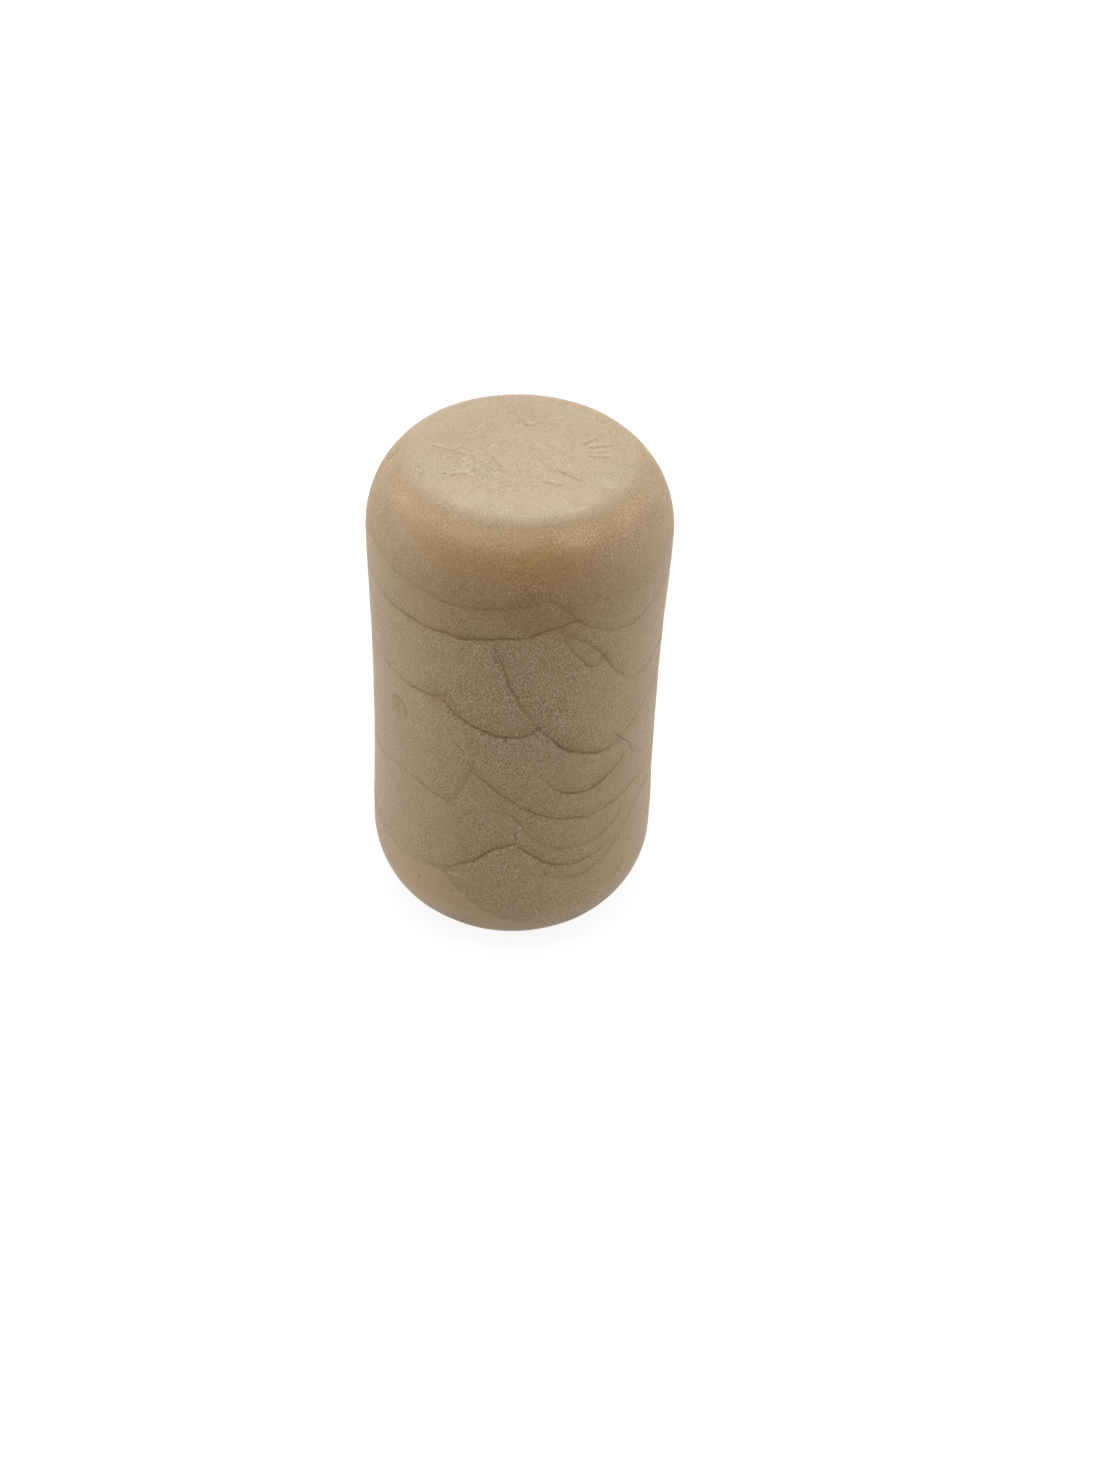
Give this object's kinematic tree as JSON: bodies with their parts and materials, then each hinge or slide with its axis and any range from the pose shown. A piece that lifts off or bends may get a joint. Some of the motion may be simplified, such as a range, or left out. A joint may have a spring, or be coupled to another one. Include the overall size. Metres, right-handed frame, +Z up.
{
  "type": "moulded synthetic bottle stopper",
  "caption": "Cork-coloured synthetic bottle stopper: a slightly waisted cylinder with rounded shoulders, a shallow dish in each end and curved flow folds over its side.",
  "frame": {"origin": "centre of the lower rim's plane, on the stopper's axis", "axes": "+Z up along the stopper's axis, -Y towards the side that shows the strongest flow folds"},
  "size_m": [0.0212, 0.0212, 0.038],
  "materials": {
    "foam": "satin skin of foamed thermoplastic elastomer"
  },
  "bodies": {
    "root": {"stopper": "foam"}
  },
  "joints": []
}
